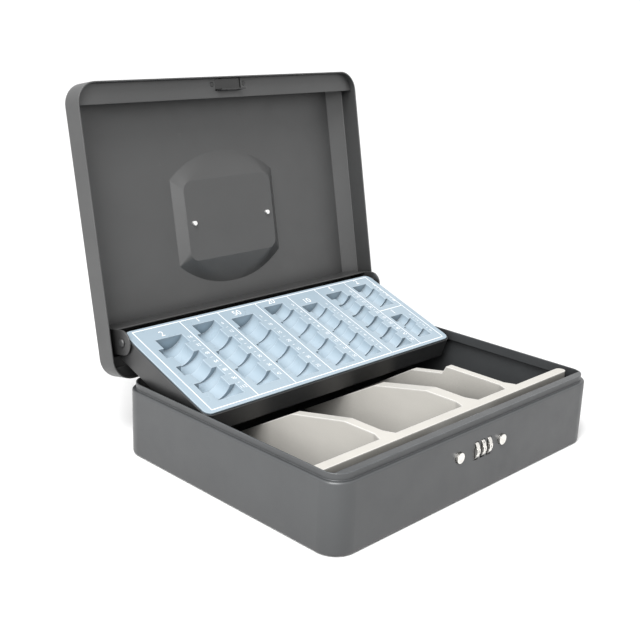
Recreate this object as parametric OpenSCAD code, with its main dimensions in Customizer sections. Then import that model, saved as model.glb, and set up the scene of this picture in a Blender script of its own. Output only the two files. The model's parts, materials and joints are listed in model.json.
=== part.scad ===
// Steel cash box with a hinged lid, a coin tray that swings with the lid,
// a note insert and a three-dial combination lock with two push buttons.
// Origin: middle of the underside, +Z up, front towards -Y, all in mm.
// Drawn with the lid open against its stop and the coin tray swung out.

/* [Box body] */
// outside width, left to right
box_w = 300; // [296:2:306]
// outside depth, front to back
box_d = 228; // [228:1:232]
// height of the shoulder that the lid rim closes down to
shoulder_h = 53; // [52.8:0.1:53.1]
// height of the collar that stands up inside the lid rim
collar_h = 58; // [57.6:0.1:58.1]
// how far the collar stands in from the outside wall
collar_in = 3; // [2.5:0.1:3.2]
// outside radius of the upright corners
corner_r = 17; // [16:0.5:20]
// radius of the edge between walls and underside
foot_r = 2.5; // [2:0.25:3]
// thickness of the steel sheet
sheet = 1; // [0.8:0.1:1.1]
// radius of the rolled edge along the shoulder
bead_r = 1.5; // [1.2:0.1:1.5]

/* [Front flange and lock openings] */
// rear edge of the inward flange, distance from the front face
flange_depth = 9.5; // [8.5:0.5:9.5]
// distance of each button from the middle
button_x = 25.3; // [25:0.1:25.8]
// height of the button centres
button_z = 35.8; // [35:0.1:36.5]
// radius of a button
button_r = 4; // [3.8:0.1:4]
// how far a button stands out of the front face
button_out = 1.8; // [1.8:0.1:2.2]
// sideways position of the middle dial
dial_mid_x = 2.4; // [0:0.2:2.6]
// distance from dial to dial
dial_pitch = 7.5; // [7.4:0.1:7.6]
// radius of a dial
dial_r = 8.5; // [8.3:0.1:8.5]
// thickness of a dial
dial_w = 3.5; // [3.3:0.1:3.6]
// width of a dial window
window_w = 4.8; // [4.6:0.1:5]
// height of a dial window
window_h = 14.4; // [14.4:0.1:15]

/* [Lid] */
// height of the lid rim when closed
rim_z = 53.5; // [53.4:0.1:53.8]
// height of the crease between lid wall and bevel
crease_z = 71.5; // [71:0.25:72]
// height of the flat top
top_z = 80; // [79.8:0.1:80.5]
// width of the bevel around the flat top
bevel_w = 14; // [13:0.5:15]
// height of the hinge axis
hinge_z = 49; // [48.8:0.1:49.2]
// distance of the hinge axis behind the rear wall
hinge_out = 4.6; // [4.6:0.1:4.9]
// angle that the lid stands open
open_angle = 100.87; // [99:0.1:101]
// depth of the recess that the handle lies in
dish_depth = 6.2; // [5.5:0.1:6.3]
// width of the return flange along the front of the lid
lid_lip_front = 16; // [14:1:16]
// width of the return flange along the back of the lid
lid_lip_rear = 9; // [7:0.5:9]

/* [Handle] */
// distance of each handle lug from the middle
lug_x = 41; // [40:0.5:41.5]
// distance from handle axis to the middle of the grip
grip_reach = 36; // [32:1:36]
// radius of the handle rod
rod_r = 2.5; // [2.2:0.1:2.5]
// angle that the handle hangs off the lid surface
hang_angle = 10.87; // [8:0.1:12]

/* [Coin tray] */
// distance of the tray pivot behind the middle, lid closed
pivot_y = 83.4; // [83.2:0.1:83.6]
// height of the tray pivot, lid closed
pivot_z = 48; // [47.9:0.1:48.2]
// forward slope of the tray with the lid open
tray_slope = 19.37; // [17:0.1:20]
// height of the insert top above the pivot
top_over = 5.2; // [5.2:0.1:5.4]
// distance of the insert rear edge behind the pivot
rear_over = 5.1; // [5:0.1:5.3]
// depth of the insert, front to back
insert_d = 107.6; // [107.6:0.2:108.6]
// depth of the pan below the insert top
pan_deep = 20.5; // [20:0.1:20.5]
// wall of the plastic mouldings
skin = 1.2; // [1:0.1:1.3]

/* [Note insert] */
// height of the rail and divider tops
rail_z = 57.5; // [57:0.1:57.5]
// front face of the rail, distance from the front wall
rail_y = 18; // [18:0.25:18.5]
// width of the rail
rail_w = 8.5; // [8:0.25:8.5]

/* [Hidden] */
$fn = 48;
tau = 0.05;
hw = box_w / 2;
hd = box_d / 2;
hinge_y = hd + hinge_out;
in_y = -hd + sheet;
axis_y = -hd + 6;
dial_z = 35;
case_back = -hd + 17;
bar_y = -hd + 11.8;
travel = 1.8;
lip_z = collar_h + 0.5;
panel_in = top_z - sheet;
slope_a = atan2(top_z - crease_z, bevel_w);
crease_in = crease_z - sheet * cos(slope_a) + (sheet - sheet * sin(slope_a)) * tan(slope_a);
run_in = (panel_in - crease_in) / tan(slope_a);
recess_z = top_z - dish_depth;
lug_y = 3.8;
rod_z = recess_z + rod_r + 0.8;
pan_x = hw - 9;
ear_in = pan_x + 1;
ear_t = 1.2;
ear_r = 10;
ear_top = crease_in + (hw - sheet - ear_in - ear_t) * tan(slope_a) - 0.15;
barrel_r = 3.2;
pin_r = 1.75;
hinge_len = 240;
leaf_t = 1;
n_knuckle = 5;
rail_front = -hd + rail_y;
rail_back = rail_front + rail_w;
side_x = hw - collar_in - sheet - 0.3;

// coin, left edge, sideways step, start, length of a step, steps, first step to the right
coins = [
  [25.8, -126.8, 5.2, 17.3, 11.4, 7, 1],
  [23.3, -84.2, 3.8, 10.4, 12.1, 7, 1],
  [24.3, -45.2, 3.2, 14, 12.2, 7, 1],
  [22.3, -2.4, 3.5, 10, 11.3, 8, 0],
  [19.8, 33.9, 2.9, 20, 10, 8, 0],
  [21.3, 70.4, 4.2, 12.8, 8.8, 10, 0],
  [18.8, 107, 2.8, 11.7, 8.8, 4, 0],
  [16.3, 107, 2.8, 62.5, 8.6, 4, 0]
];

// ---- shared shapes ----

// flat rectangle with round corners
module rr(w, d, r) {
  square([w - 2 * r, d], center = true);
  square([w, d - 2 * r], center = true);
  for (sx = [-1, 1])
    for (sy = [-1, 1])
      translate([sx * (w / 2 - r), sy * (d / 2 - r)])
        circle(r);
}

// shape drawn in Y and Z, drawn out along X from x0 to x1
module along_x(x0, x1) {
  translate([x0, 0, 0])
    rotate([90, 0, 90])
      linear_extrude(x1 - x0)
        children();
}

// round bar along Y from y0 to y1
module bar_y(x, z, y0, y1, r) {
  translate([x, y1, z])
    rotate([90, 0, 0])
      cylinder(h = y1 - y0, r = r);
}

// round bar along X from x0 to x1
module bar_x(y, z, x0, x1, r) {
  translate([x0, y, z])
    rotate([0, 90, 0])
      cylinder(h = x1 - x0, r = r);
}

// block between two corners
module block(a, b) {
  translate(a)
    cube(b - a);
}

// half section of a wall with a round lower edge, from x = 0 outwards
module edge_side(r, h, rb) {
  square([r - rb, h]);
  translate([0, rb])
    square([r, h - rb]);
  translate([r - rb, rb])
    circle(rb);
}

// block with round upright corners and a round lower edge
module tub(w, d, h, rc, rb) {
  a = w / 2 - rc;
  b = d / 2 - rc;
  translate([-a, -b, 0])
    cube([2 * a, 2 * b, h]);
  for (q = [0 : 3])
    translate([(q == 0 || q == 3) ? a : -a, q < 2 ? b : -b, 0])
      rotate([0, 0, 90 * q])
        rotate_extrude(angle = 90)
          edge_side(rc, h, rb);
  for (s = [0, 1]) {
    mirror([0, s, 0])
      along_x(-a, a)
        translate([b, 0])
          edge_side(rc, h, rb);
    mirror([s, 0, 0])
      translate([0, b, 0])
        rotate([90, 0, 0])
          linear_extrude(2 * b)
            translate([a, 0])
              edge_side(rc, h, rb);
  }
}

// upright walls, then a bevel on all four sides and round corners
module bevel_block(w, d, rc, z0, z1, z2, run) {
  translate([0, 0, z0])
    linear_extrude(z1 - z0)
      rr(w, d, rc);
  for (sx = [-1, 1])
    for (sy = [-1, 1])
      translate([sx * (w / 2 - rc), sy * (d / 2 - rc), z1])
        cylinder(h = z2 - z1, r1 = rc, r2 = rc - run);
  along_x(-w / 2 + rc, w / 2 - rc)
    polygon([[-d / 2, z1], [d / 2, z1], [d / 2 - run, z2], [-d / 2 + run, z2]]);
  translate([0, d / 2 - rc, 0])
    rotate([90, 0, 0])
      linear_extrude(d - 2 * rc)
        polygon([[-w / 2, z1], [w / 2, z1], [w / 2 - run, z2], [-w / 2 + run, z2]]);
}

// turns a part drawn on the closed lid to the open lid
module on_lid() {
  translate([0, hinge_y, hinge_z])
    rotate([-open_angle, 0, 0])
      translate([0, -hinge_y, -hinge_z])
        children();
}

// tray frame: origin on the pivot, Y along the tray, Z square to it
module on_tray() {
  on_lid()
    translate([0, pivot_y, pivot_z])
      rotate([open_angle + tray_slope, 0, 0])
        children();
}

// small rivet head on the outside of the rear wall
module rear_head(x, z) {
  translate([x, hd + leaf_t, z])
    rotate([-90, 0, 0])
      cylinder(h = 0.9, r1 = 3, r2 = 1.8);
}

// ---- box body ----

module base_shell() {
  ri = corner_r - sheet;
  rc = corner_r - collar_in;
  top_body = shoulder_h - bead_r;
  color([0.42, 0.44, 0.46])
    difference() {
      union() {
        tub(box_w, box_d, 30, corner_r, foot_r);
        translate([0, 0, shoulder_h])
          mirror([0, 0, 1])
            tub(box_w, box_d, shoulder_h - 30, corner_r, bead_r);
        translate([0, 0, shoulder_h - 1])
          linear_extrude(collar_h - shoulder_h + 1)
            rr(box_w - 2 * collar_in, box_d - 2 * collar_in, rc);
      }
      translate([0, 0, sheet])
        tub(box_w - 2 * sheet, box_d - 2 * sheet, top_body - 1.5 - sheet, ri, foot_r - sheet);
      translate([0, 0, top_body - 2])
        linear_extrude(collar_h)
          rr(box_w - 2 * collar_in - 2 * sheet, box_d - 2 * collar_in - 2 * sheet, rc - sheet);
      for (s = [-1, 1])
        bar_y(s * button_x, button_z, -hd - 1, -hd + sheet + 1, button_r + 0.35);
      for (i = [-1, 0, 1])
        translate([dial_mid_x + i * dial_pitch, -hd + sheet / 2, dial_z])
          cube([window_w, 4, window_h], center = true);
    }
}

// inward flange along the front collar, turned down at its rear edge
module front_flange() {
  y1 = -hd + flange_depth;
  color([0.55, 0.57, 0.58])
    intersection() {
      translate([0, 0, collar_h - 4])
        linear_extrude(5)
          rr(box_w - 2 * collar_in - 2 * sheet, box_d - 2 * collar_in - 2 * sheet, corner_r - collar_in - sheet);
      union() {
        block([-hw, -hd, collar_h - 1], [hw, y1, collar_h]);
        block([-hw, y1 - 1, collar_h - 3.5], [hw, y1, collar_h]);
      }
    }
}

// ---- hinge ----

function knuckle_0(i) = -hinge_len / 2 + i * hinge_len / n_knuckle + 0.3;
function knuckle_1(i) = -hinge_len / 2 + (i + 1) * hinge_len / n_knuckle - 0.3;

module hinge_leaf_base() {
  color([0.5, 0.52, 0.53])
    difference() {
      union() {
        block([-hinge_len / 2, hd, 27], [hinge_len / 2, hd + leaf_t, hinge_z - 2.2]);
        for (i = [0, 2, 4]) {
          bar_x(hinge_y, hinge_z, knuckle_0(i), knuckle_1(i), barrel_r);
          block([knuckle_0(i), hd, hinge_z - barrel_r], [knuckle_1(i), hinge_y, hinge_z - 2.2]);
        }
      }
      bar_x(hinge_y, hinge_z, -hinge_len, hinge_len, pin_r + tau);
      for (i = [-2 : 2])
        bar_y(i * 48, 36, hd - 1, hd + 2, 1.6);
    }
}

module hinge_leaf_lid() {
  color([0.5, 0.52, 0.53])
    on_lid()
      difference() {
        union() {
          block([-hinge_len / 2, hd, rim_z + 0.8], [hinge_len / 2, hd + leaf_t, crease_z - 3]);
          for (i = [1, 3]) {
            bar_x(hinge_y, hinge_z, knuckle_0(i), knuckle_1(i), barrel_r);
            block([knuckle_0(i), hinge_y - barrel_r, hinge_z], [knuckle_1(i), hinge_y - 2.2, rim_z + 2]);
            block([knuckle_0(i), hd, rim_z + 0.8], [knuckle_1(i), hinge_y - 2.2, rim_z + 2]);
          }
        }
        bar_x(hinge_y, hinge_z, -hinge_len, hinge_len, pin_r + tau);
        for (i = [-2 : 2])
          bar_y(i * 48, 62, hd - 1, hd + 2, 1.6);
      }
}

module hinge_pin() {
  color([0.75, 0.76, 0.77])
    bar_x(hinge_y, hinge_z, -hinge_len / 2 - 0.6, hinge_len / 2 + 0.6, pin_r);
}

module hinge_rivets_base() {
  color([0.62, 0.63, 0.64])
    for (i = [-2 : 2]) {
      rear_head(i * 48, 36);
      bar_y(i * 48, 36, hd, hd + 1.2, 1.55);
    }
}

module hinge_rivets_lid() {
  color([0.62, 0.63, 0.64])
    on_lid()
      for (i = [-2 : 2]) {
        rear_head(i * 48, 62);
        bar_y(i * 48, 62, hd, hd + 1.2, 1.55);
      }
}

// ---- lid ----

// outline of the recess at the lid surface, grown by g
module dish_outline(g) {
  intersection() {
    square([113 + 2 * g, 160], center = true);
    translate([0, 33.6])
      circle(88.1 + g, $fn = 120);
    translate([0, -29.1])
      circle(88.1 + g, $fn = 120);
  }
}

// recess: wide at the surface, flat plate at the bottom
module dish(g, z_plate, z_top) {
  hull() {
    translate([0, 0, z_top - 0.01])
      linear_extrude(0.01)
        dish_outline(g);
    translate([0, 2, z_plate])
      linear_extrude(0.01)
        rr(95.4 + 2 * g, 66 + 2 * g, 8 + g, $fn = 32);
  }
}

module lid_shell() {
  ri = corner_r - sheet;
  color([0.45, 0.47, 0.49])
    on_lid()
      difference() {
        union() {
          difference() {
            bevel_block(box_w, box_d, corner_r, rim_z, crease_z, top_z, bevel_w);
            translate([0, 0, -2])
              linear_extrude(rim_z + 3)
                rr(box_w - 2 * sheet, box_d - 2 * sheet, ri);
            bevel_block(box_w - 2 * sheet, box_d - 2 * sheet, ri, rim_z + 0.5, crease_in, panel_in, run_in);
          }
          dish(0.6, recess_z - sheet, panel_in + 0.3);
        }
        dish(0, recess_z, top_z + 0.01);
        for (s = [-1, 1])
          translate([s * lug_x, lug_y, recess_z - 2])
            cylinder(h = 4, r = 1.65);
      }
}

// flat strip inside the lid wall, from y0 to y1
module lid_strip(y0, y1) {
  intersection() {
    translate([0, 0, lip_z])
      linear_extrude(1)
        rr(box_w - 2 * sheet, box_d - 2 * sheet, corner_r - sheet);
    block([-hw, y0, lip_z - 1], [hw, y1, lip_z + 2]);
  }
}

module lid_front_flange() {
  color([0.55, 0.57, 0.58])
    on_lid()
      difference() {
        lid_strip(-hd, -hd + sheet + lid_lip_front);
        block([-14.2, -hd, lip_z - 1], [14.2, bar_y - 0.4, lip_z + 2]);
        for (s = [-1, 1])
          translate([s * 17.3, -hd + 6, lip_z - 1])
            cylinder(h = 3, r = 1.3);
      }
}

module lid_rear_flange() {
  color([0.5, 0.52, 0.53])
    on_lid()
      lid_strip(hd - sheet - lid_lip_rear, hd);
}

// bent plate behind the notch of the flange, its web has a window for the latch tongue
module striker_hook() {
  z1 = lip_z + 1;
  y1 = bar_y - 0.6;
  color([0.16, 0.16, 0.17])
    on_lid()
      difference() {
        union() {
          block([-20.5, -hd + 1.5, z1], [20.5, y1, z1 + 1.2]);
          along_x(-13, 13) {
            translate([y1 - 1.2, z1 - 7.9])
              square([1.2, 8]);
            translate([y1 - 0.6, z1 - 7.9])
              circle(0.6);
          }
        }
        block([-9, y1 - 3, 53], [9, y1 + 1, 56.2]);
        for (s = [-1, 1])
          translate([s * 17.3, -hd + 6, z1 - 1])
            cylinder(h = 5, r = 1.3);
      }
}

module striker_rivets() {
  color([0.2, 0.2, 0.21])
    on_lid()
      for (s = [-1, 1])
        translate([s * 17.3, -hd + 6, lip_z]) {
          cylinder(h = 2.4, r = 1.25);
          translate([0, 0, 2.2])
            cylinder(h = 0.8, r1 = 2.4, r2 = 1.6);
          translate([0, 0, -0.25])
            cylinder(h = 0.25, r1 = 1.7, r2 = 2);
        }
}

// ---- handle ----

module bail_handle() {
  leg_x = lug_x - 6;
  bend = 8;
  color([0.68, 0.69, 0.7])
    on_lid()
      translate([0, lug_y, rod_z])
        rotate([hang_angle, 0, 0]) {
          for (s = [-1, 1]) {
            bar_y(s * leg_x, 0, 0, grip_reach - bend, rod_r);
            translate([s * leg_x, 0, 0])
              sphere(rod_r);
            bar_x(0, 0, min(s * leg_x, s * (lug_x + 2.3)), max(s * leg_x, s * (lug_x + 2.3)), 2);
            translate([s * (leg_x - bend), grip_reach - bend, 0])
              rotate([0, 0, s > 0 ? 0 : 90])
                rotate_extrude(angle = 90)
                  translate([bend, 0])
                    circle(rod_r);
          }
          bar_x(grip_reach, 0, -leg_x + bend, leg_x - bend, rod_r);
        }
}

module handle_lug(s) {
  on_lid()
    translate([s * lug_x, lug_y, recess_z]) {
      difference() {
        union() {
          block([-2.5, -3.2, 0.03], [2.5, 3.2, rod_z - recess_z]);
          bar_x(0, rod_z - recess_z, -2.5, 2.5, 3.2);
        }
        bar_x(0, rod_z - recess_z, -4, 4, 2 + tau);
      }
      translate([0, 0, -sheet - 1])
        cylinder(h = sheet + 1.4, r = 1.6);
      translate([0, 0, -sheet - 1.83])
        cylinder(h = 1.8, r1 = 1.9, r2 = 2.3);
    }
}

module handle_lug_left() {
  color([0.8, 0.8, 0.8])
    handle_lug(-1);
}

module handle_lug_right() {
  color([0.8, 0.8, 0.8])
    handle_lug(1);
}

// ---- tray carrier ----

module tray_bracket() {
  y0 = pivot_y - ear_r;
  flat_x = hw - sheet - run_in;
  color([0.52, 0.54, 0.55])
    on_lid()
      difference() {
        union() {
          translate([0, y0 + ear_t, 0])
            rotate([90, 0, 0])
              linear_extrude(ear_t)
                polygon([
                  [-ear_in, pivot_z + 8], [ear_in, pivot_z + 8], [ear_in, ear_top],
                  [flat_x - 0.5, panel_in], [-flat_x + 0.5, panel_in], [-ear_in, ear_top]
                ]);
          block([-flat_x + 4, y0, panel_in - 1], [flat_x - 4, y0 + 9, panel_in]);
          for (s = [0, 1])
            mirror([s, 0, 0])
              along_x(ear_in, ear_in + ear_t) {
                translate([pivot_y, pivot_z])
                  circle(ear_r);
                translate([y0, pivot_z])
                  square([2 * ear_r, ear_top - pivot_z]);
              }
        }
        bar_x(pivot_y, pivot_z, -hw, hw, 2.5);
      }
}

module tray_rivet() {
  on_tray() {
    bar_x(0, 0, pan_x - 3.2, ear_in + ear_t + 1, 2.45);
    bar_x(0, 0, pan_x + 0.02, ear_in - 0.3, 5);
    translate([ear_in + ear_t + 0.3, 0, 0])
      rotate([0, 90, 0])
        cylinder(h = 1.1, r1 = 3.6, r2 = 2.6);
    bar_x(0, 0, pan_x - 3.6, pan_x - 2.3, 3.2);
  }
}

module tray_rivet_left() {
  color([0.55, 0.56, 0.57])
    mirror([1, 0, 0])
      tray_rivet();
}

module tray_rivet_right() {
  color([0.55, 0.56, 0.57])
    tray_rivet();
}

// ---- coin tray ----

// side view of the pan, shrunk by g, upper edge at z1
module pan_side(g, z1) {
  y0 = rear_over - insert_d - 1.4 + g;
  y1 = rear_over + 1.4 - g;
  z0 = top_over - pan_deep + g;
  rf = 3 - g;
  rb = 6 - g;
  translate([y0, z0 + rf])
    square([y1 - y0 - rb, z1 - z0 - rf]);
  translate([y1 - rb - 1, z0 + rb])
    square([rb + 1, z1 - z0 - rb]);
  translate([y0 + rf, z0])
    square([y1 - y0 - rf - rb, rf + 1]);
  translate([y0 + rf, z0 + rf])
    circle(rf);
  translate([y1 - rb, z0 + rb])
    circle(rb);
}

module pan_body(g, z1) {
  mid = rear_over - insert_d / 2;
  intersection() {
    along_x(-pan_x + g, pan_x - g)
      pan_side(g, z1);
    translate([0, mid, -30])
      linear_extrude(60)
        rr(2 * pan_x - 2 * g, insert_d + 2.8 - 2 * g, 7 - g);
  }
}

module tray_pan() {
  color([0.48, 0.5, 0.52])
    on_tray()
      difference() {
        pan_body(0, top_over - 1);
        pan_body(0.8, top_over + 4);
        bar_x(0, 0, -hw, hw, 2.47);
      }
}

// stepped trough for one kind of coin, t runs forward from the rear edge
module trough(c) {
  r = c[0] / 2;
  for (i = [0 : c[5] - 1]) {
    side = (i + c[6]) % 2;
    x = c[1] + r + side * c[2];
    translate([x, rear_over - c[3] - i * c[4], top_over])
      rotate([90, 0, 0])
        cylinder(h = c[4], r = r, $fn = 40);
  }
}

module coin_insert() {
  mid = rear_over - insert_d / 2;
  color([0.76, 0.84, 0.9])
    on_tray()
      difference() {
        union() {
          translate([0, mid, top_over - 1.5])
            linear_extrude(1.5)
              rr(2 * pan_x - 2.5, insert_d, 6);
          for (c = coins)
            block([c[1] - skin, rear_over - c[3] - c[4] * c[5] - skin, top_over - c[0] / 2 - skin],
                  [c[1] + c[0] + c[2] + skin, rear_over - c[3] + skin, top_over - 0.5]);
          for (sx = [-1, 1])
            for (t = [12, insert_d - 12])
              translate([sx * (pan_x - 6.5), rear_over - t, top_over - pan_deep + 0.8])
                cylinder(h = pan_deep - 1.5, r = 2.4);
        }
        for (c = coins)
          trough(c);
      }
}

// ---- note insert ----

// side view of a divider that slopes away under the tray
module fall_side(g) {
  polygon([
    [rail_front + g, 1 - g], [rail_front + g, rail_z - g], [-50, rail_z - g],
    [3, rail_z - 11.4 - g], [81 - 2 * g, 1 - g]
  ]);
}

// side view of the divider that stays level up to the tray
module short_side(g) {
  polygon([
    [rail_front + g, 1 - g], [rail_front + g, rail_z - g], [-26 - g, rail_z - g],
    [-22.3 - g, rail_z - 6.7 - g], [10 - g, rail_z - 12.7 - g], [81 - 2 * g, 1 - g]
  ]);
}

// top view of a divider, flared where it leaves the rail
module rib_top(x, w, g) {
  polygon([
    [x - w / 2 + g, 90], [x - w / 2 + g, rail_back + 9], [x - w / 2 - 4 + g, rail_back],
    [x - w / 2 - 4 + g, rail_front], [x + w / 2 + 4 - g, rail_front], [x + w / 2 + 4 - g, rail_back],
    [x + w / 2 - g, rail_back + 9], [x + w / 2 - g, 90]
  ]);
}

module rib(x, w, g, short) {
  intersection() {
    linear_extrude(rail_z + 2)
      rib_top(x, w, g);
    along_x(x - w, x + w)
      if (short)
        short_side(g);
      else
        fall_side(g);
  }
}

// front rail, round at its right end
module rail(g) {
  ym = (rail_front + rail_back) / 2;
  r = rail_w / 2 - g;
  translate([0, 0, 1 - g]) {
    linear_extrude(rail_z - 1) {
      translate([-side_x + g, ym - r])
        square([side_x + hw - 10 - r - 2 * g, 2 * r]);
      translate([hw - 10 - r - g, ym])
        circle(r);
    }
  }
}

module note_insert() {
  color([0.82, 0.8, 0.76])
    difference() {
      union() {
        rail(0);
        rib(-73.5, 8.6, 0, false);
        rib(20, 12, 0, false);
        rib(72.5, 7, 0, true);
      }
      rail(1.5);
      rib(-73.5, 8.6, 1.5, false);
      rib(20, 12, 1.5, false);
      rib(72.5, 7, 1.5, true);
    }
}

// ---- lock ----

module lock_case() {
  z0 = 21;
  z1 = 50;
  color([0.35, 0.36, 0.37])
    difference() {
      union() {
        block([-36, in_y, z0], [36, case_back, z1]);
        for (s = [0, 1])
          mirror([s, 0, 0])
            block([35, in_y, 22], [46, in_y + 1, 49.5]);
      }
      block([-35, in_y - 1, z0 + 1], [35, case_back - 1, z1 - 1]);
      block([-12.5, bar_y - 1.5, z1 - 2], [12.5, case_back - 1, z1 + 1]);
      for (sx = [-1, 1])
        for (z = [27, 45])
          bar_y(sx * 41, z, in_y - 1, in_y + 3, 1.6);
    }
}

module lock_studs() {
  color([0.7, 0.71, 0.72])
    for (sx = [-1, 1])
      for (z = [27, 45])
        bar_y(sx * 41, z, in_y, in_y + 4.6, 1.5);
}

module lock_nuts() {
  color([0.75, 0.75, 0.72])
    for (sx = [-1, 1])
      for (z = [27, 45])
        translate([sx * 41, in_y + 3.4, z])
          rotate([90, 0, 0])
            difference() {
              cylinder(h = 2.4, r = 3.2, $fn = 6);
              translate([0, 0, -1])
                cylinder(h = 5, r = 1.52);
            }
}

// plate that guides one button stem and holds the near end of its spring
module stem_guide(s) {
  difference() {
    block([min(s * 20.5, s * 35), in_y + 6.4, 28], [max(s * 20.5, s * 35), in_y + 7.4, 43.5]);
    bar_y(s * button_x, button_z, in_y, in_y + 10, 2 + tau);
  }
}

module stem_guide_left() {
  color([0.6, 0.61, 0.62])
    stem_guide(-1);
}

module stem_guide_right() {
  color([0.6, 0.61, 0.62])
    stem_guide(1);
}

module dial_cradle() {
  xl = dial_mid_x - dial_pitch - 5.5;
  xr = dial_mid_x + dial_pitch + 6.5;
  color([0.6, 0.61, 0.62])
    difference() {
      union() {
        block([xl - 1, axis_y - 4, 30.5], [xl, case_back - 1, 39.5]);
        block([xr, axis_y - 4, 30.5], [xr + 1, case_back - 1, 39.5]);
      }
      bar_x(axis_y, dial_z, -40, 40, 2.02);
    }
}

module dial_shaft() {
  xl = dial_mid_x - dial_pitch - 7;
  xr = dial_mid_x + dial_pitch + 8;
  color([0.78, 0.78, 0.78])
    bar_x(axis_y, dial_z, xl, xr, 2);
}

module dial(i) {
  x = dial_mid_x + (i - 2) * dial_pitch;
  difference() {
    bar_x(axis_y, dial_z, x - dial_w / 2, x + dial_w / 2, dial_r);
    bar_x(axis_y, dial_z, x - dial_w, x + dial_w, 2 + tau);
    for (k = [0 : 9])
      translate([x, axis_y, dial_z])
        rotate([k * 36, 0, 0])
          translate([-dial_w, 0, dial_r + 0.35])
            rotate([0, 90, 0])
              cylinder(h = 2 * dial_w, r = 0.8, $fn = 24);
  }
}

module dial_1() {
  color([0.92, 0.9, 0.85])
    dial(1);
}

module dial_2() {
  color([0.92, 0.9, 0.85])
    dial(2);
}

module dial_3() {
  color([0.92, 0.9, 0.85])
    dial(3);
}

// code disc fixed to the right side of a dial, with one gate
module code_disc(i) {
  x = dial_mid_x + (i - 2) * dial_pitch + dial_w / 2;
  difference() {
    bar_x(axis_y, dial_z, x, x + 2.2, 4.4);
    bar_x(axis_y, dial_z, x - 1, x + 4, 2 + tau);
    block([x - 1, axis_y - 0.9, dial_z + 3.1], [x + 4, axis_y + 0.9, dial_z + 6]);
  }
}

module code_disc_1() {
  color([0.75, 0.68, 0.42])
    code_disc(1);
}

module code_disc_2() {
  color([0.75, 0.68, 0.42])
    code_disc(2);
}

module code_disc_3() {
  color([0.75, 0.68, 0.42])
    code_disc(3);
}

// leaf spring below the dials, one finger each
module detent_spring() {
  y0 = axis_y - 3;
  y1 = case_back - 2;
  color([0.7, 0.7, 0.68]) {
    block([dial_mid_x - 10, y1 - 5, 22], [dial_mid_x + 10, y1, 22.5]);
    block([dial_mid_x - 10, y1 - 0.5, 22], [dial_mid_x + 10, y1, 26]);
    for (i = [-1, 0, 1])
      block([dial_mid_x + i * dial_pitch - 1.4, y0, 25.5], [dial_mid_x + i * dial_pitch + 1.4, y1, 26]);
  }
}

// plate behind the buttons, its tongue reaches through the window of the striker
module latch_bar() {
  y1 = bar_y + 1.2;
  color([0.65, 0.66, 0.67])
    difference() {
      union() {
        block([-31, bar_y, 44.6], [31, y1, 48.6]);
        for (s = [0, 1])
          mirror([s, 0, 0])
            block([19.5, bar_y, 31], [31, y1, 48.6]);
        block([-11, bar_y, 48], [11, y1, 55.6]);
        along_x(-8, 8)
          polygon([[bar_y - 2.2, 53.4], [bar_y - 2.2, 53.9], [bar_y - 1, 55.4], [bar_y + 0.6, 55.4], [bar_y + 0.6, 53.4]]);
      }
      for (s = [-1, 1])
        bar_y(s * button_x, button_z, bar_y - 1, y1 + 1, 2);
    }
}

module button(s) {
  face = -hd - button_out;
  difference() {
    union() {
      bar_y(s * button_x, button_z, face, in_y + 0.6, button_r);
      bar_y(s * button_x, button_z, in_y + 0.1, in_y + 1.3, button_r + 1.3);
      bar_y(s * button_x, button_z, in_y + 1, bar_y + 1.2, 2);
    }
    translate([s * button_x, face - 7.6, button_z])
      sphere(8.2, $fn = 64);
  }
}

module button_left() {
  color([0.85, 0.85, 0.84])
    button(-1);
}

module button_right() {
  color([0.85, 0.85, 0.84])
    button(1);
}

// return spring drawn as touching coils around the button stem
module return_spring(s) {
  y0 = in_y + 1.3;
  y1 = in_y + 6.4;
  n = 7;
  wire = 0.38;
  for (i = [0 : n - 1])
    translate([s * button_x, y0 + wire + i * (y1 - y0 - 2 * wire) / (n - 1), button_z])
      rotate([90, 0, 0])
        rotate_extrude()
          translate([2.9, 0])
            circle(wire, $fn = 16);
}

module return_spring_left() {
  color([0.72, 0.72, 0.72])
    return_spring(-1);
}

module return_spring_right() {
  color([0.72, 0.72, 0.72])
    return_spring(1);
}

base_shell();
front_flange();
hinge_leaf_base();
hinge_leaf_lid();
hinge_pin();
hinge_rivets_base();
hinge_rivets_lid();
lid_shell();
lid_front_flange();
lid_rear_flange();
striker_hook();
striker_rivets();
bail_handle();
handle_lug_left();
handle_lug_right();
tray_bracket();
tray_rivet_left();
tray_rivet_right();
tray_pan();
coin_insert();
note_insert();
lock_case();
lock_studs();
lock_nuts();
stem_guide_left();
stem_guide_right();
dial_cradle();
dial_shaft();
dial_1();
dial_2();
dial_3();
code_disc_1();
code_disc_2();
code_disc_3();
detent_spring();
latch_bar();
button_left();
button_right();
return_spring_left();
return_spring_right();
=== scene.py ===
import bpy
import json
import math
from mathutils import Matrix, Vector


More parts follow.
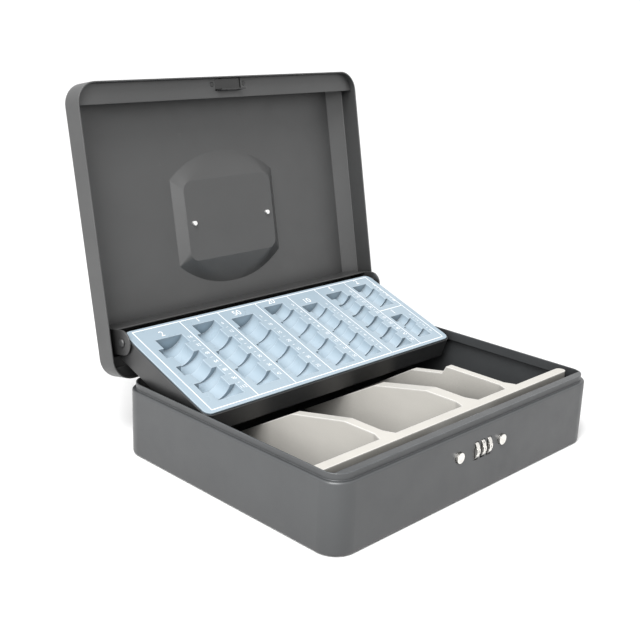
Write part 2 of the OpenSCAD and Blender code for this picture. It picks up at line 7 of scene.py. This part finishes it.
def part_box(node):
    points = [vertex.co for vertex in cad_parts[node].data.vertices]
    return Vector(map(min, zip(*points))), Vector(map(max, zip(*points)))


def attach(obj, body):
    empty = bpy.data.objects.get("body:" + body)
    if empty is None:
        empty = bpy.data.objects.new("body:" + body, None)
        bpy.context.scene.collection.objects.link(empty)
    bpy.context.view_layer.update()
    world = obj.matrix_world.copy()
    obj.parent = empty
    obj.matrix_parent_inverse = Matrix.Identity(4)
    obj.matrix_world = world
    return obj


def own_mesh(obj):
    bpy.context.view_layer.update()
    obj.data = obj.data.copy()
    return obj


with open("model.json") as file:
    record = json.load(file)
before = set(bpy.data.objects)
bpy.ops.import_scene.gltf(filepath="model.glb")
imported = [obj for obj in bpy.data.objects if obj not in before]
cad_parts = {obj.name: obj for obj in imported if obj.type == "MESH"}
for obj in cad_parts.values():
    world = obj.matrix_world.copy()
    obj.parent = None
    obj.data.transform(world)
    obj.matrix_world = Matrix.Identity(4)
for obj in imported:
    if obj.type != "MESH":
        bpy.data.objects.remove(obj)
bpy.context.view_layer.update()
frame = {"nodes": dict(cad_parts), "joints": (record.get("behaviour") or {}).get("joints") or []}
nodes = frame["nodes"]
joint = {j["name"]: j for j in frame["joints"]}
MM = 0.001


# ---------------------------------------------------------------- materials
class Mat:
    """Short helper that builds one node material."""

    def __init__(self, name):
        self.m = bpy.data.materials.new(name)
        self.m.use_nodes = True
        self.t = self.m.node_tree
        self.b = self.t.nodes["Principled BSDF"]
        self.co = self.t.nodes.new("ShaderNodeTexCoord").outputs["Object"]

    def node(self, kind, ins=None, **props):
        n = self.t.nodes.new(kind)
        for k, v in props.items():
            setattr(n, k, v)
        for k, v in (ins or {}).items():
            self.put(n.inputs[k], v)
        return n

    def put(self, socket, v):
        if isinstance(v, bpy.types.NodeSocket):
            self.t.links.new(v, socket)
        else:
            socket.default_value = v

    def noise(self, size, detail=2.0, rough=0.5, stretch=(1, 1, 1), co=None):
        """Noise whose grains are about size metres wide."""
        s = self.node("ShaderNodeMapping", {"Vector": co or self.co, "Scale": stretch})
        n = self.node("ShaderNodeTexNoise", {
            "Vector": s.outputs[0], "Scale": 1 / size, "Detail": detail, "Roughness": rough})
        return n.outputs["Fac"]

    def ramp(self, v, a, b, lo=0.0, hi=1.0):
        n = self.node("ShaderNodeMapRange", {
            "Value": v, "From Min": a, "From Max": b, "To Min": lo, "To Max": hi})
        n.clamp = True
        return n.outputs[0]

    def math(self, op, a, b=0.0):
        n = self.node("ShaderNodeMath", operation=op)
        self.put(n.inputs[0], a)
        self.put(n.inputs[1], b)
        return n.outputs[0]

    def mix(self, f, a, b, mode="MIX"):
        n = self.node("ShaderNodeMix", data_type="RGBA", blend_type=mode)
        self.put(n.inputs[0], f)
        self.put(n.inputs[6], a)
        self.put(n.inputs[7], b)
        return n.outputs[2]

    def soft(self, radius):
        """Normal with edges rounded off by radius metres."""
        return self.node("ShaderNodeBevel", {"Radius": radius}, samples=6).outputs[0]

    def edge(self, radius, gain):
        """1 on sharp edges, 0 on flats."""
        g = self.node("ShaderNodeNewGeometry")
        d = self.node("ShaderNodeVectorMath", operation="DOT_PRODUCT")
        self.put(d.inputs[0], self.soft(radius))
        self.put(d.inputs[1], g.outputs["Normal"])
        turned = self.math("SUBTRACT", 1.0, d.outputs["Value"])
        return self.math("MINIMUM", self.math("MULTIPLY", turned, gain), 1.0)

    def bump(self, height, depth, strength=1.0, normal=None):
        n = self.node("ShaderNodeBump", {"Height": height, "Distance": depth, "Strength": strength})
        if normal is not None:
            self.put(n.inputs["Normal"], normal)
        return n.outputs[0]

    def occlusion_shaded(self, col, reach, low):
        """Colour sunk by low where other surfaces lie closer than reach metres: painted shade in corners,
        recesses and under parts, taken from ambient occlusion.
        """
        ao = self.node("ShaderNodeAmbientOcclusion", {"Distance": reach}, samples=8).outputs["AO"]
        return self.mix(1.0, col, self.ramp(ao, 0.15, 0.8, low, 1.0), "MULTIPLY")

    def out(self, **ins):
        for k, v in ins.items():
            self.put(self.b.inputs[k.replace("_", " ")], v)
        return self.m


def grey(v, tint=(1.0, 1.0, 1.0)):
    return (v * tint[0], v * tint[1], v * tint[2], 1)


def paint(name, base, light, rough=0.42, grain=0.00055, lift=0.00003, wear_and_highlight=0.35, soft=0.0009):
    """Textured enamel on steel: orange peel, faint clouding, edges painted brighter (partly rubbed wear,
    partly painted highlight), a few light scuffs, painted shade in hollows.
    """
    m = Mat(name)
    cloud = m.ramp(m.noise(0.045, 3), 0.3, 0.7)
    col = m.mix(m.math("MULTIPLY", cloud, 0.25), base, light)
    speck = m.ramp(m.noise(0.0009, 1), 0.62, 0.78)
    col = m.mix(m.math("MULTIPLY", speck, 0.25), col, light)
    # edges painted brighter: partly rubbed wear on the enamel, partly a painted highlight along edges and
    # shoulders
    rub_and_highlight = m.math("MULTIPLY", m.edge(soft, 7.0), m.ramp(m.noise(0.012, 4, 0.6), 0.35, 0.7, 0.35, 1.0))
    col = m.mix(m.math("MULTIPLY", rub_and_highlight, wear_and_highlight), col, (light[0] * 2.2, light[1] * 2.2, light[2] * 2.2, 1))
    scuff = m.ramp(m.noise(0.006, 5, 0.7, (0.25, 1.0, 0.6)), 0.70, 0.78)
    col = m.mix(m.math("MULTIPLY", scuff, 0.22), col, (light[0] * 1.8, light[1] * 1.8, light[2] * 1.8, 1))
    # painted shade: colour darkened where ambient occlusion finds surfaces close by, in corners, recesses and
    # under parts
    col = m.occlusion_shaded(col, 0.07, 0.25)
    peel = m.math("ADD", m.noise(grain, 2, 0.5), m.math("MULTIPLY", m.noise(grain * 4, 1), 0.6))
    nrm = m.bump(peel, lift, 0.55, m.soft(soft))
    rg = m.ramp(m.noise(0.02, 4, 0.6), 0.3, 0.7, rough - 0.05, rough + 0.08)
    return m.out(Base_Color=col, Roughness=rg, Normal=nrm, Specular_IOR_Level=0.75)


def plastic(name, base, shade, rough=0.42, soft=0.0006, edge_highlight=None, reach=0.01):
    """Thin moulded plastic: faint flow marks, fine grain, edges painted paler as a highlight, painted shade
    in hollows.
    """
    m = Mat(name)
    flow = m.ramp(m.noise(0.03, 3, 0.55, (1, 0.35, 1)), 0.3, 0.7)
    col = m.mix(m.math("MULTIPLY", flow, 0.45), base, shade)
    # edges painted paler: a painted highlight along rims
    if edge_highlight:
        col = m.mix(m.math("MULTIPLY", m.edge(soft * 1.6, 6.0), 0.7), col, edge_highlight)
    dust = m.ramp(m.noise(0.0016, 3, 0.7), 0.66, 0.8)
    col = m.mix(m.math("MULTIPLY", dust, 0.18), col, (0.9, 0.9, 0.88, 1))
    # painted shade: colour darkened by ambient occlusion within reach metres, in corners, recesses and under
    # parts
    col = m.occlusion_shaded(col, reach, 0.3)
    nrm = m.bump(m.noise(0.0007, 2), 0.00002, 0.5, m.soft(soft))
    rg = m.ramp(m.noise(0.015, 4), 0.3, 0.7, rough - 0.06, rough + 0.08)
    return m.out(Base_Color=col, Roughness=rg, Normal=nrm)


def metal(name, base, dark, rough=0.25, brushed=(1, 1, 1), soft=0.0002):
    """Plated or bare metal: drawn grain, small pits and handling marks."""
    m = Mat(name)
    draw = m.noise(0.0004, 3, 0.6, brushed)
    tarn = m.ramp(m.noise(0.004, 4, 0.65), 0.35, 0.75)
    col = m.mix(m.math("MULTIPLY", tarn, 0.6), base, dark)
    rg = m.math("ADD", m.ramp(tarn, 0, 1, rough - 0.05, rough + 0.15), m.math("MULTIPLY", draw, 0.06))
    nrm = m.bump(draw, 0.000012, 0.6, m.soft(soft))
    m.b.inputs["Metallic"].default_value = 1.0
    return m.out(Base_Color=col, Roughness=rg, Normal=nrm)


cool = (0.95, 1.0, 1.04)
body = paint("enamel_body", grey(0.056, cool), grey(0.084, cool), rough=0.38, wear_and_highlight=0.7)
lid = paint("enamel_lid", grey(0.058, (0.99, 1.0, 1.0)), grey(0.084, (0.99, 1.0, 1.0)), rough=0.40, wear_and_highlight=0.6)
pan = paint("enamel_pan", grey(0.026, (0.98, 1.0, 1.02)), grey(0.042), rough=0.40, wear_and_highlight=0.6)
arm = paint("enamel_arm", grey(0.042), grey(0.060), rough=0.36, wear_and_highlight=0.5)
black = paint("black_oxide", grey(0.012), grey(0.02), rough=0.22, wear_and_highlight=0.8, soft=0.0005)
blue = plastic("blue_moulding", (0.37, 0.455, 0.52, 1), (0.30, 0.39, 0.46, 1), 0.30, 0.0007,
               edge_highlight=(0.62, 0.72, 0.80, 1))
# the 6 cm reach spreads painted shade over the dividers beneath the coin tray; the paler edge colour is a
# painted highlight
cream = plastic("white_moulding", (0.61, 0.59, 0.545, 1), (0.52, 0.50, 0.465, 1), 0.45, 0.0012,
                edge_highlight=(0.86, 0.85, 0.82, 1), reach=0.06)
print_white = plastic("white_print", (0.97, 0.98, 1.0, 1), (0.9, 0.93, 0.96, 1), 0.55, 0.0001)
chrome = metal("bright_plate", (0.86, 0.84, 0.80, 1), (0.62, 0.60, 0.56, 1), 0.22)
bright = metal("peened_steel", (0.95, 0.95, 0.94, 1), (0.75, 0.75, 0.74, 1), 0.30)
zinc = metal("zinc_plate", (0.62, 0.64, 0.66, 1), (0.42, 0.44, 0.46, 1), 0.34, (1, 1, 0.2))
brass = metal("stamped_brass", (0.78, 0.60, 0.30, 1), (0.52, 0.38, 0.18, 1), 0.30)
wire = metal("spring_wire", (0.60, 0.60, 0.58, 1), (0.36, 0.36, 0.34, 1), 0.30, (4, 4, 0.5))
ink = plastic("black_ink", (0.012, 0.012, 0.013, 1), (0.02, 0.02, 0.02, 1), 0.5, 0.0001)

finish_of = {
    "base_shell": body, "front_flange": body, "hinge_leaf_base": arm, "hinge_leaf_lid": arm,
    "hinge_pin": zinc, "hinge_rivets_base": zinc, "hinge_rivets_lid": zinc, "lid_shell": lid,
    "lid_front_flange": lid, "lid_rear_flange": lid, "striker_hook": black, "striker_rivets": black,
    "bail_handle": chrome, "handle_lug_left": bright, "handle_lug_right": bright, "tray_bracket": arm,
    "tray_rivet_left": pan, "tray_rivet_right": pan, "tray_pan": pan, "coin_insert": blue,
    "note_insert": cream, "latch_bar": zinc, "button_left": chrome, "button_right": chrome,
    "return_spring_left": wire, "return_spring_right": wire, "detent_spring": wire,
    "code_disc_1": brass, "code_disc_2": brass, "code_disc_3": brass,
    "dial_1": chrome, "dial_2": chrome, "dial_3": chrome,
}
for name, obj in nodes.items():
    obj.data.materials.clear()
    obj.data.materials.append(finish_of.get(name, zinc))

# each return spring gets its own copy of its mesh
for end in ("left", "right"):
    lo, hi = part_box("return_spring_" + end)
    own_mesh(nodes["return_spring_" + end])


# ---------------------------------------------------------------- printed marks
def glyph(text, size):
    """Outline of a run of digits as a flat mesh: points in metres, faces, centred on its own middle."""
    cu = bpy.data.curves.new("g", "FONT")
    cu.body = text
    cu.size = size
    cu.align_x = "CENTER"
    cu.align_y = "CENTER"
    ob = bpy.data.objects.new("g", cu)
    bpy.context.scene.collection.objects.link(ob)
    bpy.context.view_layer.update()
    me = bpy.data.meshes.new_from_object(ob.evaluated_get(bpy.context.evaluated_depsgraph_get()))
    pts = [(v.co.x, v.co.y) for v in me.vertices]
    fcs = [tuple(p.vertices) for p in me.polygons]
    bpy.data.objects.remove(ob)
    bpy.data.curves.remove(cu)
    bpy.data.meshes.remove(me)
    return pts, fcs


cache = {}


class Sheet:
    """Collects flat marks and maps them on to a surface."""

    def __init__(self, place):
        self.place, self.v, self.f = place, [], []

    def add(self, pts, fcs):
        k = len(self.v)
        self.v += [self.place(*p) for p in pts]
        self.f += [tuple(i + k for i in f) for f in fcs]

    def text(self, s, u, v, size):
        if (s, size) not in cache:
            cache[(s, size)] = glyph(s, size)
        pts, fcs = cache[(s, size)]
        self.add([(u + a, v + b) for a, b in pts], fcs)

    def bar(self, u0, v0, u1, v1, w):
        d = Vector((u1 - u0, v1 - v0)).normalized() * w / 2
        n = (-d.y, d.x)
        pts = [(u0 + n[0], v0 + n[1]), (u0 - n[0], v0 - n[1]), (u1 - n[0], v1 - n[1]), (u1 + n[0], v1 + n[1])]
        self.add(pts, [(0, 1, 2, 3)])

    def done(self, name, mat, rides):
        me = bpy.data.meshes.new(name)
        me.from_pydata(self.v, [], self.f)
        me.materials.append(mat)
        ob = bpy.data.objects.new(name, me)
        bpy.context.scene.collection.objects.link(ob)
        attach(ob, rides)
        return ob


# print on the coin insert: u to the right, v from the insert's rear edge, negative towards the front
pivot = Vector(joint["tray_pivot"]["pos_m"])
tray_slope_deg, rear_over, top_over, print_lift = 19.37, 5.1, 5.2, 0.04
slope = math.radians(tray_slope_deg)
along = Vector((0, math.cos(slope), math.sin(slope)))
up = Vector((0, -math.sin(slope), math.cos(slope)))
top = pivot + along * rear_over * MM + up * (top_over + print_lift) * MM

tray = Sheet(lambda u, v: Vector((u, top.y, top.z)) + along * v)
depth = 107.6
edge_x = [-133.0, -87.5, -48.0, -6.5, 31.0, 65.2, 103.6, 134.0]
coins = [
    ("2", 25.8, -126.8, 5.2, 17.3, 11.4, 7, 16), ("1", 23.3, -84.2, 3.8, 10.4, 12.1, 7, 6),
    ("50", 24.3, -45.2, 3.2, 14.0, 12.2, 7, 5), ("20", 22.3, -2.4, 3.5, 10.0, 11.3, 8, 2),
    ("10", 19.8, 33.9, 2.9, 20.0, 10.0, 8, 1), ("5", 21.3, 70.4, 4.2, 12.8, 8.8, 10, 5),
    ("2", 18.8, 107.0, 2.8, 11.7, 8.8, 4, 2), ("1", 16.3, 107.0, 2.8, 62.5, 8.6, 4, 1),
]
for x in edge_x[1:-1]:
    tray.bar(x * MM, -2.4 * MM, x * MM, -(depth - 3.2) * MM, 0.7 * MM)
for a, b in (((edge_x[0], 2.4), (edge_x[-1], 2.4)), ((edge_x[0], depth - 3.2), (edge_x[-1], depth - 3.2)),
             ((edge_x[0], 2.0), (edge_x[0], depth - 2.8)), ((edge_x[-1], 2.0), (edge_x[-1], depth - 2.8)),
             ((edge_x[6], 52.0), (edge_x[-1], 52.0))):
    tray.bar(a[0] * MM, -a[1] * MM, b[0] * MM, -b[1] * MM, 0.8 * MM)
for label, d, x0, step, t0, pitch, n, unit in coins:
    mid = x0 + (d + step) / 2
    tray.text(label, mid * MM, -(t0 - 5.4) * MM, 8.6 * MM)
    right = x0 + d + step
    for i in range(n):
        t = t0 + (i + 0.5) * pitch
        tray.text(str(unit * (i + 1)), (right + 3.9) * MM, -t * MM, 4.3 * MM)
        if i:
            v = -(t - pitch / 2) * MM
            tray.bar((right + 2.6) * MM, v, (right + 5.2) * MM, v, 0.35 * MM)
tray.done("tray_print", print_white, "coin_tray")

# digits round each dial
for k, b in enumerate(("dial_a", "dial_b", "dial_c")):
    lo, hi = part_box("dial_%d" % (k + 1))
    ax = Vector(joint[b + "_turn"]["pos_m"])
    r = (hi.z - lo.z) / 2 + 0.00004
    xm = (lo.x + hi.x) / 2

    def wrap(u, v, xm=xm, r=r, ax=ax):
        return Vector((xm + u, ax.y - r * math.cos(v / r), ax.z + r * math.sin(v / r)))

    ring = Sheet(wrap)
    for d in range(10):
        ring.text(str((d + 3 * k) % 10), 0, r * math.radians(36 * d), 3.1 * MM)
    ring.done("dial_digits_%d" % (k + 1), ink, b)


# ---------------------------------------------------------------- stage
def plane(name, size, z, mat):
    me = bpy.data.meshes.new(name)
    s = size / 2
    me.from_pydata([(-s, -s, z), (s, -s, z), (s, s, z), (-s, s, z)], [], [(0, 1, 2, 3)])
    me.materials.append(mat)
    ob = bpy.data.objects.new(name, me)
    bpy.context.scene.collection.objects.link(ob)
    return ob


fm = Mat("floor_white")
fcol = fm.mix(fm.math("MULTIPLY", fm.noise(0.4, 2), 0.15), (0.92, 0.92, 0.92, 1), (0.88, 0.88, 0.88, 1))
floor = plane("floor", 30.0, -0.0002, fm.out(Base_Color=fcol, Roughness=0.75))
floor.visible_diffuse = False

world = bpy.data.worlds.new("studio")
bpy.context.scene.world = world
world.use_nodes = True
world.node_tree.nodes["Background"].inputs[0].default_value = (1, 1, 1, 1)
wt = world.node_tree
sky = wt.nodes.new("ShaderNodeMapRange")
ray = wt.nodes.new("ShaderNodeLightPath")
either = wt.nodes.new("ShaderNodeMath")
either.operation = "MAXIMUM"
wt.links.new(ray.outputs["Is Camera Ray"], either.inputs[0])
wt.links.new(ray.outputs["Is Glossy Ray"], either.inputs[1])
wt.links.new(either.outputs[0], sky.inputs["Value"])
sky.inputs["To Min"].default_value = 0.34
sky.inputs["To Max"].default_value = 1.05
wt.links.new(sky.outputs[0], wt.nodes["Background"].inputs[1])


def lamp(kind, name, pos, aim, power, **props):
    li = bpy.data.lights.new(name, kind)
    for k, v in props.items():
        setattr(li, k, v)
    li.energy = power
    ob = bpy.data.objects.new(name, li)
    bpy.context.scene.collection.objects.link(ob)
    ob.location = pos
    ob.rotation_mode = "QUATERNION"
    ob.rotation_quaternion = (Vector(pos) - Vector(aim)).to_track_quat("Z", "Y")
    return ob


lamp("SUN", "key", (-1.3, -0.7, 2.6), (0, 0, 0), 3.1, angle=math.radians(30))
lamp("AREA", "left_box", (-1.1, -0.5, 0.7), (-0.1, 0.1, 0.15), 11, shape="RECTANGLE", size=0.6, size_y=0.6)
bpy.context.scene.view_settings.view_transform = "Standard"

# ---------------------------------------------------------------- camera
# the eye stands in front and to the left, a little above the lid
yaw, pitch, roll = (math.radians(v) for v in (45.91, 17.43, 2.21))
at = Vector((-0.5833, -0.5124, 0.3466))
look = Vector((math.sin(yaw) * math.cos(pitch), math.cos(yaw) * math.cos(pitch), -math.sin(pitch)))
side = Vector((math.cos(yaw), -math.sin(yaw), 0))
rise = side.cross(look)
right = side * math.cos(roll) + rise * math.sin(roll)
above = -side * math.sin(roll) + rise * math.cos(roll)
cam = bpy.data.cameras.new("camera")
cam.sensor_width = 36
cam.lens = 58.9
cam.clip_start = 0.01
cam.clip_end = 60
eye = bpy.data.objects.new("camera", cam)
bpy.context.scene.collection.objects.link(eye)
eye.matrix_world = Matrix((
    (right.x, above.x, -look.x, at.x),
    (right.y, above.y, -look.y, at.y),
    (right.z, above.z, -look.z, at.z),
    (0, 0, 0, 1),
))
bpy.context.scene.camera = eye
